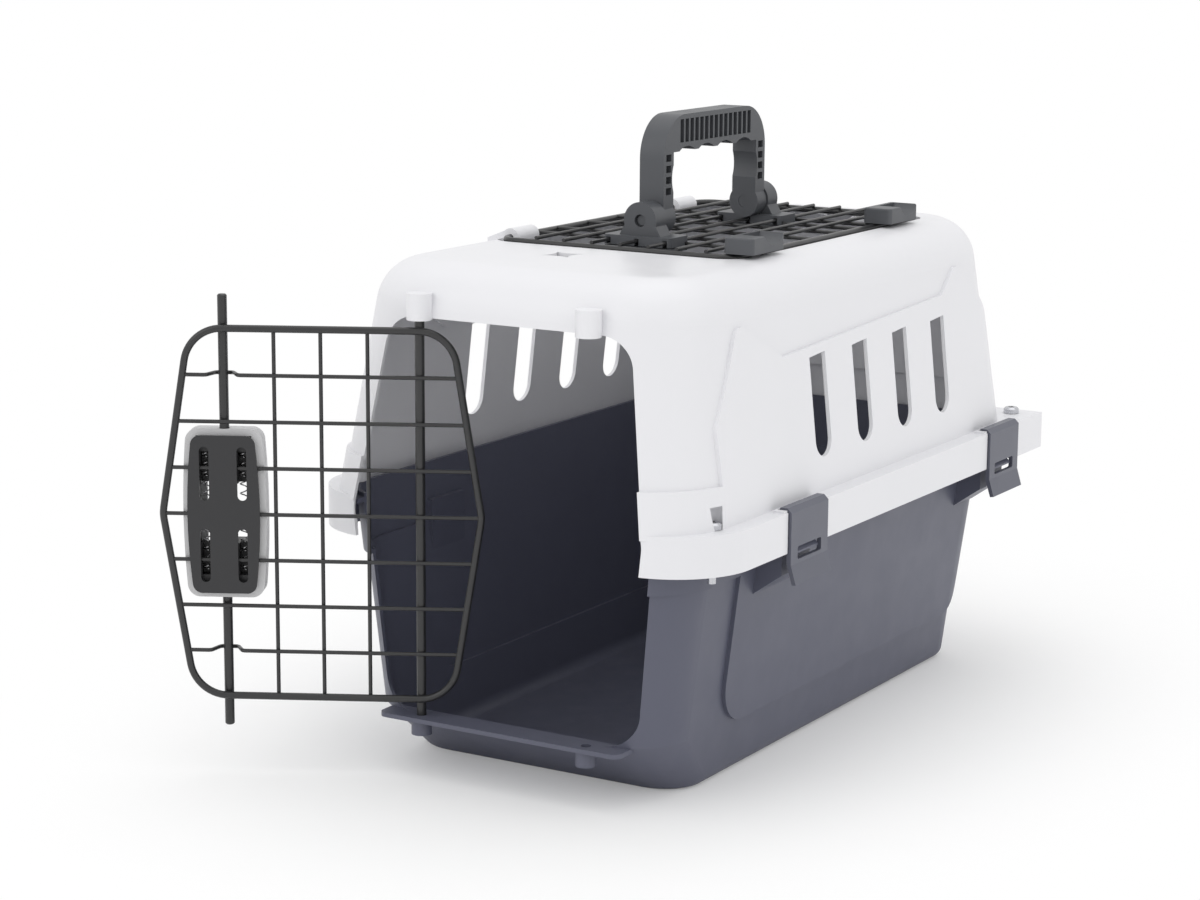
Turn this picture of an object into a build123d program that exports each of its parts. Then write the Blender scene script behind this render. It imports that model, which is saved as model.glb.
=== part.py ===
from build123d import *
import math
import os

# A two-part moulded pet carrier: a tub, a canopy that drops over its rim, a wire front door
# on a vertical rod, a wire top door with a folding carry handle, four side clips and four bolts.
# Millimetres. Z is up, the front door faces -Y, and the origin is the middle of the base on the floor.

# Walls and the reliefs moulded into them
WALL = 2.6
RELIEF = 2.6
SEAT_GAP = 0.3
RUN_GAP = 0.4
FIT_GAP = 0.06

# Tub, the lower shell
BASE_HALF_WIDTH = 105.0
BASE_FRONT = -203.0
BASE_BACK = 207.0
BASE_CORNER = 32.0
BASE_EDGE = 8.0
SILL_Z = 38.0
SILL_HALF_WIDTH = 111.0
SILL_FRONT = -247.0
SILL_BACK = 211.0
SILL_CORNER = 40.0
TUB_RIM_HALF_WIDTH = 128.0
TUB_RIM_FRONT = -253.0
TUB_RIM_BACK = 222.0
TUB_RIM_CORNER = 46.0
TUB_BAND_Z = 136.0
TUB_PANEL_FRONT = -170.0
TUB_PANEL_BACK = 188.0
TUB_PANEL_LOW_Z = 36.0
TUB_PANEL_RADIUS = 30.0

# Canopy, the upper shell
CANOPY_HALF_WIDTH = 137.5
CANOPY_FRONT = -263.0
CANOPY_BACK = 232.0
CANOPY_CORNER = 52.0
ROOF_Z = 322.0
ROOF_HALF_WIDTH = 121.0
ROOF_FRONT = -243.0
ROOF_BACK = 219.0
ROOF_CORNER = 58.0
ROOF_EDGE = 34.0
COLLAR_TOP_Z = 201.0
EAR_FRONT_Y = -214.0
EAR_FRONT_PEAK = (-181.0, 294.0)
EAR_VALLEY = (-126.0, 266.0)
EAR_REAR_VALLEY = (112.0, 276.0)
EAR_REAR_PEAK = (139.0, 295.0)
EAR_BACK_Y = 196.0
EAR_BACK_Z = 252.0
EAR_ROUND = 10.0
SLOT_COUNT = 4
SLOT_PITCH = 60.5
SLOT_MID_Y = 10.0
SLOT_WIDTH = 22.0
SLOT_LOW_Z = 197.0
SLOT_TOP_Z = 261.0

# Flange that hides the joint between the two shells
FLANGE_LOW_Z = 150.5
FLANGE_TOP_Z = 176.0
FLANGE_HALF_WIDTH = 148.5
FLANGE_FRONT = -259.0
FLANGE_BACK = 246.0
FLANGE_FRONT_CORNER = 52.0
FLANGE_BACK_CORNER = 20.0
FLANGE_WALL = 2.8
LEDGE_THICK = 3.0
LEDGE_INSET = 1.2

# Front opening
OPEN_TOP_Z = 290.0
OPEN_TOP_HALF = 86.0
OPEN_KINK_Z = 168.0
OPEN_KINK_HALF = 104.0
OPEN_LOW_HALF = 91.0
OPEN_CORNER = 22.0
LIP_FRONT = -257.0
LIP_HALF_WIDTH = 88.0
LIP_THICK = 2.8

# Front door, laid out from its hinge rod and turned to where it stands open
DOOR_ANGLE = 152.0
HINGE_X = -61.0
ROD_Y = -247.2
ROD_RADIUS = 3.0
ROD_SPACING = 122.0
ROD_TOP_Z = 303.0
ROD_LOW_Z = 28.6
BOSS_RADIUS = 8.0
BOSS_LOW_Z = 289.0
BOSS_TOP_Z = 305.5
SILL_BOSS_RADIUS = 6.5
SILL_BOSS_LOW_Z = 25.6
DOOR_MID_Z = 165.7
DOOR_HALF_HEIGHT = 116.7
DOOR_TOP_HALF = 81.0
DOOR_KINK_HALF = 99.5
DOOR_CORNER = 24.0
FRAME_RADIUS = 2.3
MESH_RADIUS = 1.25
WELD_BITE = 0.4
ROW_PITCH = 29.2
ROW_STEPS = 3
COLUMN_PITCH = 29.0
GUIDE_STEP = 3
GUIDE_HALF = 5.5
GUIDE_RUN = 10.0
GUIDE_ROUND = 3.0

# Front door latch
LATCH_HALF_HEIGHT = 53.5
LATCH_END_HALF = 23.5
LATCH_MID_HALF = 26.0
LATCH_DEPTH = 14.0
LATCH_WALL = 2.2
LATCH_ROUND = 8.0
PLATE_HALF_HEIGHT = 50.0
PLATE_END_HALF = 19.4
PLATE_MID_HALF = 22.6
PLATE_THICK = 1.6
TRACK_SPACING = 23.5
TRACK_WIDTH = 6.0
TRACK_LENGTH = 34.0
PAD_HALF_WIDTH = 17.0
PAD_START = 19.0
PAD_LENGTH = 26.0
PAD_DEPTH = 8.4
PAD_LIP = 5.0
PAD_LIP_THICK = 4.0
PAD_LIP_HALF = 12.0
ROD_GRIP = 20.0
STOP_HALF = 2.0
SPRING_RADIUS = 2.4
SPRING_WIRE = 0.4
SPRING_TURNS = 6
SPRING_LENGTH = 37.0

# Roof opening and top door
ROOF_OPEN_LEFT = -97.0
ROOF_OPEN_RIGHT = 88.0
ROOF_OPEN_FRONT = -116.0
ROOF_OPEN_BACK = 170.0
ROOF_OPEN_CORNER = 17.0
TOP_DOOR_MARGIN = 5.5
TOP_FRAME_CORNER = 13.0
TOP_WIRE_PITCH = 21.0
TOP_WIRE_STEPS = 3
TOP_CROSS_Y = (-68.0, -40.0, 0.0, 40.0, 68.0, 94.0)
KNUCKLE_Y = (-84.0, 132.0)
KNUCKLE_LENGTH = 26.0
KNUCKLE_RADIUS = 6.2
KNUCKLE_ROOT = 18.0
KNUCKLE_MOUTH = 3.6
TAB_X = 45.0
TAB_WIDTH = 26.0
TAB_REACH = 10.0
TAB_THICK = 3.0

STAR_X = -17.0
STAR_Y = (-152.0, 197.0)
STAR_REACH = 15.0
STAR_WAIST = 7.0
STAR_BITE = 18.0

# Top door latches
TOP_LATCH_Y = (-88.0, 112.0)
TOP_LATCH_LENGTH = 43.0
TOP_LATCH_LEFT = 75.0
TOP_LATCH_RIGHT = 96.0
TOP_LATCH_HEIGHT = 10.5
TOP_WEB_LEFT = 71.5
TOP_WEB_THICK = 7.5
TOP_WEB_LENGTH = 24.0
TONGUE_THICK = 3.2
TONGUE_RIGHT = 94.0
TONGUE_DROP = 3.6
SCOOP_RADIUS = 15.0

# Carry handle
PIVOT_Z = 338.0
HANDLE_HALF_LENGTH = 70.0
HANDLE_LEG = 13.0
HANDLE_TOP_Z = 404.5
HANDLE_GRIP = 24.0
HANDLE_HALF_WIDTH = 9.0
HANDLE_CORNER = 28.0
HANDLE_EYE = 11.0
HANDLE_SKIN = 3.2
HANDLE_WEB = 3.0
GRIP_POCKETS = 15
GRIP_POCKET_PITCH = 6.6
POCKET_WIDTH = 4.6
LEG_POCKETS = 4
LEG_POCKET_PITCH = 7.2
LEG_POCKET_LOW_Z = 352.0
FINGER_PITCH = 26.0
FINGER_COUNT = 4
FINGER_RADIUS = 20.0
FINGER_DEPTH = 3.0
PIN_RADIUS = 4.0
BRACKET_RING = 12.0
BRACKET_DEPTH = 14.0
BRACKET_FOOT_HALF = 25.0
BRACKET_FOOT_TOP = 2.0
BRACKET_FOOT_INNER = 64.0
BRACKET_FOOT_OUTER = 89.0
CLAMP_THICK = 2.6
CLAMP_SCREW_X = 10.5
SCREW_RADIUS = 1.6
SCREW_HEAD_RADIUS = 3.2
SCREW_HEAD = 2.0

# Side clips and shell bolts
CLIP_Y = (-131.0, 173.0)
CLIP_WIDTH = 50.0
CLIP_THICK = 3.0
CLIP_LOW_Z = 131.0
CLIP_OUT_X = 150.4
CLIP_PIVOT_X = 144.0
CLIP_PIVOT_Z = 173.4
CLIP_BARREL = 3.2
CLIP_SWING = 5.8
CLIP_TOP_Z = 178.6
CLIP_FLARE = 3.6
CLIP_FLARE_Z = 143.0
CLIP_PIN = 1.6
CLIP_PIN_LENGTH = 3.0
CLIP_SIDE_GAP = 1.0
CHEEK_THICK = 4.0
WINDOW_LOW_Z = 145.3
WINDOW_TOP_Z = 153.4
WINDOW_WIDTH = 32.0
NUB_LOW_Z = 148.2
NUB_TOP_Z = 151.4
NUB_OUT_X = 148.6
CATCH_WIDTH = 38.0
CATCH_OUT_X = 141.0
CATCH_LOW_Z = 118.0
BOLT_X = 131.0
BOLT_Y = (-221.0, 230.0)
BOLT_RADIUS = 2.5
BOLT_HEAD_RADIUS = 5.5
BOLT_HEAD = 4.2
BOLT_END_Z = 143.0
BOLT_POCKET_HEIGHT = 14.0
TOWER_RADIUS = 6.0
TOWER_LOW_Z = 155.0
NUT_RADIUS = 5.4
NUT_HEIGHT = 5.0

# Places worked out from the sizes above
FRAME_LAYER = -(ROD_RADIUS + MESH_RADIUS - WELD_BITE)
COLUMN_LAYER = FRAME_LAYER + 2 * MESH_RADIUS - WELD_BITE
LATCH_BACK = FRAME_LAYER + MESH_RADIUS + SEAT_GAP
PLATE_BACK = FRAME_LAYER - MESH_RADIUS - SEAT_GAP - PLATE_THICK
LATCH_ROD_LAYER = FRAME_LAYER + FRAME_RADIUS + SEAT_GAP + ROD_RADIUS
GUIDE_LAYER = LATCH_ROD_LAYER + ROD_RADIUS + MESH_RADIUS + SEAT_GAP
DOOR_MID_U = ROD_SPACING / 2
LEDGE_TOP_Z = FLANGE_TOP_Z - FLANGE_WALL - SEAT_GAP
HINGE_WIRE_X = ROOF_OPEN_LEFT + TOP_DOOR_MARGIN
LATCH_WIRE_X = ROOF_OPEN_RIGHT - TOP_DOOR_MARGIN
TOP_FRAME_FRONT = ROOF_OPEN_FRONT + TOP_DOOR_MARGIN
TOP_FRAME_BACK = ROOF_OPEN_BACK - TOP_DOOR_MARGIN
TOP_WIRE_Z = ROOF_Z + FRAME_RADIUS + MESH_RADIUS - WELD_BITE
TOP_CROSS_Z = TOP_WIRE_Z - 2 * MESH_RADIUS + WELD_BITE
WIRE_TOP_Z = TOP_WIRE_Z + MESH_RADIUS
TUB_SECTIONS = (
    (0.0, BASE_HALF_WIDTH, BASE_FRONT, BASE_BACK, BASE_CORNER),
    (SILL_Z, SILL_HALF_WIDTH, SILL_FRONT, SILL_BACK, SILL_CORNER),
    (LEDGE_TOP_Z, TUB_RIM_HALF_WIDTH, TUB_RIM_FRONT, TUB_RIM_BACK, TUB_RIM_CORNER),
)
CANOPY_SECTIONS = (
    (LEDGE_TOP_Z, CANOPY_HALF_WIDTH, CANOPY_FRONT, CANOPY_BACK, CANOPY_CORNER),
    (ROOF_Z, ROOF_HALF_WIDTH, ROOF_FRONT, ROOF_BACK, ROOF_CORNER),
)

POCKET_HEIGHT = HANDLE_GRIP - HANDLE_SKIN - FINGER_DEPTH - 2.6
LEG_POCKET_MID_Z = LEG_POCKET_LOW_Z + LEG_POCKET_PITCH * LEG_POCKETS / 2
SCREW_Y = -(BRACKET_FOOT_INNER + BRACKET_FOOT_OUTER) / 2

# Planes of the front door: seen from outside, in plan, and along its rows
SWING = math.radians(DOOR_ANGLE)
DOOR_ALONG = (math.cos(SWING), -math.sin(SWING), 0)
DOOR_OUTWARD = (-math.sin(SWING), -math.cos(SWING), 0)
DOOR_INWARD = (math.sin(SWING), math.cos(SWING), 0)
HINGE_FOOT = (HINGE_X, ROD_Y, 0)
DOOR_FACE = Plane(origin=HINGE_FOOT, x_dir=DOOR_ALONG, z_dir=DOOR_OUTWARD)
DOOR_PLAN = Plane(origin=HINGE_FOOT, x_dir=DOOR_ALONG, z_dir=(0, 0, 1))
DOOR_ROW = Plane(origin=HINGE_FOOT, x_dir=DOOR_INWARD, z_dir=DOOR_ALONG)


def section(rows, z, inset):
    """Half width, front, back and corner of a shell form at height z, drawn in by inset."""
    upper = 1
    while upper < len(rows) - 1 and z > rows[upper][0]:
        upper += 1
    low = rows[upper - 1]
    high = rows[upper]
    share = (z - low[0]) / (high[0] - low[0])
    half, front, back, corner = [a + (b - a) * share for a, b in zip(low[1:], high[1:])]
    return half - inset, front + inset, back - inset, corner - inset


def form(rows, heights, inset, edge, top_edge):
    """Solid form lofted through the shell's sections, with its roof or base edge rounded."""
    with BuildPart() as solid:
        for z in heights:
            half, front, back, corner = section(rows, z, inset)
            with BuildSketch(Plane.XY.offset(z)):
                with Locations((0, (front + back) / 2)):
                    RectangleRounded(2 * half, back - front, corner)
        loft(ruled=True)
        edges = solid.edges().group_by(Axis.Z)
        fillet(edges[-1] if top_edge else edges[0], radius=edge)
    return solid.part


def tub_form(inset):
    """Tub form from the base up to its rim."""
    floor = max(inset - RELIEF, 0)
    return form(TUB_SECTIONS, (floor, SILL_Z, LEDGE_TOP_Z + WALL), inset, BASE_EDGE, False)


def canopy_form(inset):
    """Canopy form from below the flange up to the roof."""
    roof = ROOF_Z - max(inset - RELIEF, 0)
    return form(CANOPY_SECTIONS, (LEDGE_TOP_Z, roof), inset, ROOF_EDGE - inset, True)


def ears(inset):
    """Side relief of the canopy, with two pointed ears in its top edge."""
    with BuildSketch(Plane.YZ) as sketch:
        with BuildLine():
            Polyline(
                (EAR_FRONT_Y, COLLAR_TOP_Z - 20),
                (EAR_FRONT_Y, COLLAR_TOP_Z + 34),
                EAR_FRONT_PEAK,
                EAR_VALLEY,
                EAR_REAR_VALLEY,
                EAR_REAR_PEAK,
                (EAR_BACK_Y, EAR_BACK_Z),
                (EAR_BACK_Y, COLLAR_TOP_Z - 20),
                close=True,
            )
        make_face()
        fillet(sketch.vertices(), radius=EAR_ROUND)
        if inset:
            offset(amount=-inset, kind=Kind.INTERSECTION, mode=Mode.REPLACE)
    return sketch.sketch


def tub_panel(inset):
    """Side relief of the tub."""
    with BuildSketch(Plane.YZ) as sketch:
        with Locations(((TUB_PANEL_FRONT + TUB_PANEL_BACK) / 2, (TUB_PANEL_LOW_Z + LEDGE_TOP_Z + 20) / 2)):
            RectangleRounded(
                TUB_PANEL_BACK - TUB_PANEL_FRONT - 2 * inset,
                LEDGE_TOP_Z + 20 - TUB_PANEL_LOW_Z - 2 * inset,
                TUB_PANEL_RADIUS - inset,
            )
    return sketch.sketch


def raised(full, plain, relief_sketch, band_low, band_high):
    """Plain form with the relief and a band all round brought out to the full form."""
    with BuildPart() as regions:
        add(extrude(relief_sketch, amount=2 * CANOPY_HALF_WIDTH, both=True, mode=Mode.PRIVATE))
        with BuildSketch(Plane.XY.offset(band_low)):
            Rectangle(4 * CANOPY_HALF_WIDTH, 6 * CANOPY_HALF_WIDTH)
        extrude(amount=band_high - band_low)
        add(full, mode=Mode.INTERSECT)
    with BuildPart() as result:
        add(plain)
        add(regions.part)
    return result.part


def doorway(grow):
    """Outline of the front opening, grown by a margin."""
    with BuildSketch(Plane.XZ) as sketch:
        with BuildLine():
            Polyline(
                (-OPEN_LOW_HALF, SILL_Z),
                (-OPEN_KINK_HALF, OPEN_KINK_Z),
                (-OPEN_TOP_HALF, OPEN_TOP_Z),
                (OPEN_TOP_HALF, OPEN_TOP_Z),
                (OPEN_KINK_HALF, OPEN_KINK_Z),
                (OPEN_LOW_HALF, SILL_Z),
                close=True,
            )
        make_face()
        fillet(sketch.vertices(), radius=OPEN_CORNER)
        if grow:
            offset(amount=grow, mode=Mode.REPLACE)
    return sketch.sketch


def flange_outline(inset):
    """Plan outline of the flange, drawn in by inset."""
    with BuildSketch() as sketch:
        with Locations((0, (FLANGE_FRONT + FLANGE_BACK) / 2)):
            Rectangle(2 * (FLANGE_HALF_WIDTH - inset), FLANGE_BACK - FLANGE_FRONT - 2 * inset)
        corners = sketch.vertices().group_by(Axis.Y)
        fillet(corners[0], radius=FLANGE_FRONT_CORNER - inset)
        fillet(corners[-1], radius=FLANGE_BACK_CORNER - inset)
    return sketch.sketch


BOLT_SPOTS = [(side * BOLT_X, y) for side in (-1, 1) for y in BOLT_Y]
ROD_SPOTS = [(HINGE_X, ROD_Y), (HINGE_X + ROD_SPACING, ROD_Y - LATCH_ROD_LAYER)]

# Tub: wall and floor of one thickness, open at the front above the sill
tub_outside = raised(tub_form(0), tub_form(RELIEF), tub_panel(0), TUB_BAND_Z, LEDGE_TOP_Z + WALL)
tub_inside = raised(
    tub_form(WALL), tub_form(RELIEF + WALL), tub_panel(WALL), TUB_BAND_Z + WALL, LEDGE_TOP_Z + 2 * WALL
)
with BuildPart() as tub:
    add(tub_outside)
    add(tub_inside, mode=Mode.SUBTRACT)
    # Ledge that the canopy's flange sits on
    with BuildSketch(Plane.XY.offset(LEDGE_TOP_Z - LEDGE_THICK)):
        add(flange_outline(FLANGE_WALL + LEDGE_INSET))
        half, front, back, corner = section(TUB_SECTIONS, LEDGE_TOP_Z, WALL / 2)
        with Locations((0, (front + back) / 2)):
            RectangleRounded(2 * half, back - front, corner, mode=Mode.SUBTRACT)
    extrude(amount=LEDGE_THICK)
    # Room for the clip barrels and their cheeks
    with BuildSketch(Plane.XY.offset(LEDGE_TOP_Z - LEDGE_THICK)):
        with Locations(*[(side * (CLIP_PIVOT_X + 10), y) for side in (-1, 1) for y in CLIP_Y]):
            Rectangle(2 * (CLIP_SWING + 10), CLIP_WIDTH + 2 * (CLIP_SIDE_GAP + CHEEK_THICK + RUN_GAP))
    extrude(amount=LEDGE_THICK + WALL, mode=Mode.SUBTRACT)
    # Catch blocks with the nubs that the clips hook over
    for y in CLIP_Y:
        with BuildSketch(Plane.XZ.offset(-y)) as catch:
            wall_x = section(TUB_SECTIONS, CATCH_LOW_Z, WALL)[0]
            with BuildLine():
                Polyline(
                    (wall_x, CATCH_LOW_Z),
                    (CATCH_OUT_X, CATCH_LOW_Z + 16),
                    (CATCH_OUT_X, NUB_TOP_Z),
                    (wall_x, NUB_TOP_Z),
                    close=True,
                )
            make_face()
            mirror(about=Plane.YZ)
        extrude(amount=CATCH_WIDTH / 2, both=True)
        with BuildSketch(Plane.XZ.offset(-y)):
            with BuildLine():
                Polyline(
                    (CATCH_OUT_X - 1, NUB_LOW_Z),
                    (NUB_OUT_X, NUB_LOW_Z),
                    (NUB_OUT_X, NUB_LOW_Z + 1.2),
                    (NUB_OUT_X - 2, NUB_TOP_Z),
                    (CATCH_OUT_X - 1, NUB_TOP_Z),
                    close=True,
                )
            make_face()
            mirror(about=Plane.YZ)
        extrude(amount=WINDOW_WIDTH / 2 - CLIP_SIDE_GAP, both=True)
    # Bolt towers under the ledge
    with BuildSketch(Plane.XY.offset(TOWER_LOW_Z)):
        with Locations(*BOLT_SPOTS):
            Circle(TOWER_RADIUS)
    extrude(amount=LEDGE_TOP_Z - TOWER_LOW_Z)
    with BuildSketch(Plane.XY.offset(TOWER_LOW_Z)):
        with Locations(*BOLT_SPOTS):
            Circle(BOLT_RADIUS + RUN_GAP)
    extrude(amount=LEDGE_TOP_Z - TOWER_LOW_Z, mode=Mode.SUBTRACT)
    # Front opening above the sill
    with BuildSketch(Plane.XZ.offset(-SILL_FRONT - 50)):
        add(doorway(0))
    extrude(amount=110, mode=Mode.SUBTRACT)
    # Lip in front of the sill, with a socket under it for each rod
    with BuildSketch(Plane.XY.offset(SILL_Z - LIP_THICK)):
        with Locations((0, (LIP_FRONT + SILL_FRONT + 10) / 2)):
            Rectangle(2 * LIP_HALF_WIDTH, SILL_FRONT + 10 - LIP_FRONT)
    extrude(amount=LIP_THICK)
    fillet(tub.edges().filter_by(Axis.Z).group_by(Axis.Y)[0], radius=6)
    for x, y in ROD_SPOTS:
        with BuildSketch(Plane.XY.offset(SILL_BOSS_LOW_Z)):
            with Locations((x, y)):
                Circle(SILL_BOSS_RADIUS)
        extrude(amount=SILL_Z - SILL_BOSS_LOW_Z)
        with BuildSketch(Plane.XY.offset(ROD_LOW_Z - SEAT_GAP)):
            with Locations((x, y)):
                Circle(ROD_RADIUS + SEAT_GAP)
        extrude(amount=SILL_Z, mode=Mode.SUBTRACT)
tub.part.label = "bottom_shell"

# Canopy: wall and roof of one thickness with its flange, openings, slots and knuckles
canopy_outside = raised(canopy_form(0), canopy_form(RELIEF), ears(0), LEDGE_TOP_Z, COLLAR_TOP_Z)
canopy_inside = raised(
    canopy_form(WALL), canopy_form(RELIEF + WALL), ears(WALL), LEDGE_TOP_Z, COLLAR_TOP_Z - WALL
)
with BuildPart() as pockets:
    with BuildSketch(Plane.XY.offset(FLANGE_TOP_Z)):
        with Locations(*BOLT_SPOTS):
            Circle(BOLT_HEAD_RADIUS + RUN_GAP + WALL)
    extrude(amount=BOLT_POCKET_HEIGHT + WALL)
    add(canopy_outside, mode=Mode.INTERSECT)
with BuildPart() as canopy:
    add(canopy_outside)
    # Flange plate and skirt
    with BuildSketch(Plane.XY.offset(FLANGE_TOP_Z - FLANGE_WALL)):
        add(flange_outline(0))
    extrude(amount=FLANGE_WALL)
    with BuildSketch(Plane.XY.offset(FLANGE_LOW_Z)):
        add(flange_outline(0))
        add(flange_outline(FLANGE_WALL), mode=Mode.SUBTRACT)
    extrude(amount=FLANGE_TOP_Z - FLANGE_LOW_Z)
    add(canopy_inside, mode=Mode.SUBTRACT)
    with BuildSketch(Plane.XY.offset(LEDGE_TOP_Z - 10)):
        half, front, back, corner = section(CANOPY_SECTIONS, LEDGE_TOP_Z, WALL)
        with Locations((0, (front + back) / 2)):
            RectangleRounded(2 * half, back - front, corner)
    extrude(amount=10 + SEAT_GAP, mode=Mode.SUBTRACT)
    # Pockets in the wall beside the bolt heads
    add(pockets.part)
    with BuildSketch(Plane.XY.offset(FLANGE_TOP_Z)):
        with Locations(*BOLT_SPOTS):
            Circle(BOLT_HEAD_RADIUS + RUN_GAP)
    extrude(amount=BOLT_POCKET_HEIGHT, mode=Mode.SUBTRACT)
    # Notches for the side clips, with a cheek at each side that holds the clip's pin
    with BuildSketch(Plane.XY.offset(FLANGE_LOW_Z - 1)):
        with Locations(*[(side * (CLIP_PIVOT_X + 10), y) for side in (-1, 1) for y in CLIP_Y]):
            Rectangle(2 * (CLIP_SWING + 10), CLIP_WIDTH + 2 * CLIP_SIDE_GAP)
    extrude(amount=FLANGE_TOP_Z - FLANGE_LOW_Z + 2, mode=Mode.SUBTRACT)
    for y in CLIP_Y:
        with BuildSketch(Plane.XZ.offset(-y)):
            with Locations((CLIP_PIVOT_X, CLIP_PIVOT_Z), (-CLIP_PIVOT_X, CLIP_PIVOT_Z)):
                Circle(CLIP_BARREL + 0.6)
        with BuildSketch(Plane.XZ.offset(-y)):
            with Locations((CLIP_PIVOT_X, CLIP_PIVOT_Z + 2), (-CLIP_PIVOT_X, CLIP_PIVOT_Z + 2)):
                Rectangle(2 * (CLIP_BARREL + 0.6), 4)
        extrude(amount=CLIP_WIDTH / 2 + CLIP_SIDE_GAP + CHEEK_THICK, both=True)
        with BuildSketch(Plane.XZ.offset(-y)):
            with Locations((CLIP_PIVOT_X + 2, CLIP_PIVOT_Z), (-CLIP_PIVOT_X - 2, CLIP_PIVOT_Z)):
                Rectangle(2 * (CLIP_BARREL + 3), 2 * (CLIP_BARREL + 6))
        extrude(amount=CLIP_WIDTH / 2 + CLIP_SIDE_GAP, both=True, mode=Mode.SUBTRACT)
        with BuildSketch(Plane.XZ.offset(-y)):
            with Locations((CLIP_PIVOT_X, CLIP_PIVOT_Z), (-CLIP_PIVOT_X, CLIP_PIVOT_Z)):
                Circle(CLIP_PIN + FIT_GAP)
        extrude(amount=CLIP_WIDTH / 2 + CLIP_SIDE_GAP + CLIP_PIN_LENGTH, both=True, mode=Mode.SUBTRACT)
    with BuildSketch(Plane.XY.offset(FLANGE_TOP_Z - FLANGE_WALL - 1)):
        with Locations(*BOLT_SPOTS):
            Circle(BOLT_RADIUS + RUN_GAP)
    extrude(amount=FLANGE_WALL + 2, mode=Mode.SUBTRACT)
    # Vent slots in the relief, cut through both sides
    with BuildSketch(Plane.YZ):
        for column in range(SLOT_COUNT):
            y = SLOT_MID_Y + (column - (SLOT_COUNT - 1) / 2) * SLOT_PITCH
            with BuildLine():
                Polyline(
                    (y - SLOT_WIDTH / 2, SLOT_LOW_Z + SLOT_WIDTH / 2),
                    (y - SLOT_WIDTH / 2, SLOT_TOP_Z),
                    (y + SLOT_WIDTH / 2, SLOT_TOP_Z + 1.5),
                    (y + SLOT_WIDTH / 2, SLOT_LOW_Z + SLOT_WIDTH / 2),
                )
                ThreePointArc(
                    (y + SLOT_WIDTH / 2, SLOT_LOW_Z + SLOT_WIDTH / 2),
                    (y, SLOT_LOW_Z),
                    (y - SLOT_WIDTH / 2, SLOT_LOW_Z + SLOT_WIDTH / 2),
                )
            make_face()
    extrude(amount=2 * CANOPY_HALF_WIDTH, both=True, mode=Mode.SUBTRACT)
    # Front opening and the roof opening
    with BuildSketch(Plane.XZ.offset(-SILL_FRONT - 50)):
        add(doorway(0))
    extrude(amount=110, mode=Mode.SUBTRACT)
    with BuildSketch(Plane.XY.offset(ROOF_Z - ROOF_EDGE)):
        with Locations(((ROOF_OPEN_LEFT + ROOF_OPEN_RIGHT) / 2, (ROOF_OPEN_FRONT + ROOF_OPEN_BACK) / 2)):
            RectangleRounded(
                ROOF_OPEN_RIGHT - ROOF_OPEN_LEFT, ROOF_OPEN_BACK - ROOF_OPEN_FRONT, ROOF_OPEN_CORNER
            )
    extrude(amount=2 * ROOF_EDGE, mode=Mode.SUBTRACT)
    # Star-shaped vents in the roof, in front of the top door and behind it
    with BuildSketch(Plane.XY.offset(ROOF_Z - ROOF_EDGE)):
        with Locations(*[(STAR_X, y) for y in STAR_Y]):
            Rectangle(2 * STAR_REACH, 2 * STAR_REACH)
        with Locations(*[(STAR_X, y) for y in STAR_Y]):
            with PolarLocations(STAR_WAIST + STAR_BITE, 4):
                Circle(STAR_BITE, mode=Mode.SUBTRACT)
    extrude(amount=2 * ROOF_EDGE, mode=Mode.SUBTRACT)
    # Tabs under the frame of the top door
    tab_top = ROOF_Z - FRAME_RADIUS - SEAT_GAP
    for edge_y, way in ((ROOF_OPEN_FRONT, 1), (ROOF_OPEN_BACK, -1)):
        with BuildSketch(Plane.XY.offset(tab_top - TAB_THICK)):
            with Locations((TAB_X, edge_y), (-TAB_X, edge_y)):
                Rectangle(TAB_WIDTH, 2 * TAB_REACH)
        extrude(amount=TAB_THICK)
        with BuildSketch(Plane.XY.offset(tab_top - TAB_THICK)):
            with Locations((TAB_X, edge_y - way * TAB_REACH), (-TAB_X, edge_y - way * TAB_REACH)):
                Rectangle(TAB_WIDTH, 2 * TAB_REACH - 2)
        extrude(amount=TAB_THICK + 1)
    # Knuckles that hold the frame wire of the top door
    for y in KNUCKLE_Y:
        with BuildSketch(Plane.XZ.offset(-y)) as knuckle:
            with Locations((HINGE_WIRE_X, ROOF_Z)):
                Circle(KNUCKLE_RADIUS)
            with BuildLine():
                Polyline(
                    (HINGE_WIRE_X, ROOF_Z + KNUCKLE_RADIUS),
                    (HINGE_WIRE_X, ROOF_Z - KNUCKLE_RADIUS),
                    (HINGE_WIRE_X - KNUCKLE_ROOT, ROOF_Z - KNUCKLE_RADIUS),
                    (HINGE_WIRE_X - KNUCKLE_ROOT, ROOF_Z - 1),
                    close=True,
                )
            make_face()
            with Locations((HINGE_WIRE_X, ROOF_Z)):
                Circle(FRAME_RADIUS + FIT_GAP, mode=Mode.SUBTRACT)
            with Locations((HINGE_WIRE_X, ROOF_Z - KNUCKLE_RADIUS)):
                Rectangle(KNUCKLE_MOUTH, 2 * KNUCKLE_RADIUS, mode=Mode.SUBTRACT)
        extrude(amount=KNUCKLE_LENGTH / 2, both=True)
    # Bosses over the front opening that take the upper ends of the rods
    for x, y in ROD_SPOTS:
        with BuildSketch(Plane.XY.offset(BOSS_LOW_Z)):
            with Locations((x, y)):
                Circle(BOSS_RADIUS)
        extrude(amount=BOSS_TOP_Z - BOSS_LOW_Z)
        with BuildSketch(Plane.XY.offset(BOSS_LOW_Z - 20)):
            with Locations((x, y)):
                Circle(ROD_RADIUS + SEAT_GAP)
        extrude(amount=ROD_TOP_Z + SEAT_GAP - BOSS_LOW_Z + 20, mode=Mode.SUBTRACT)
canopy.part.label = "top_shell"

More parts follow.
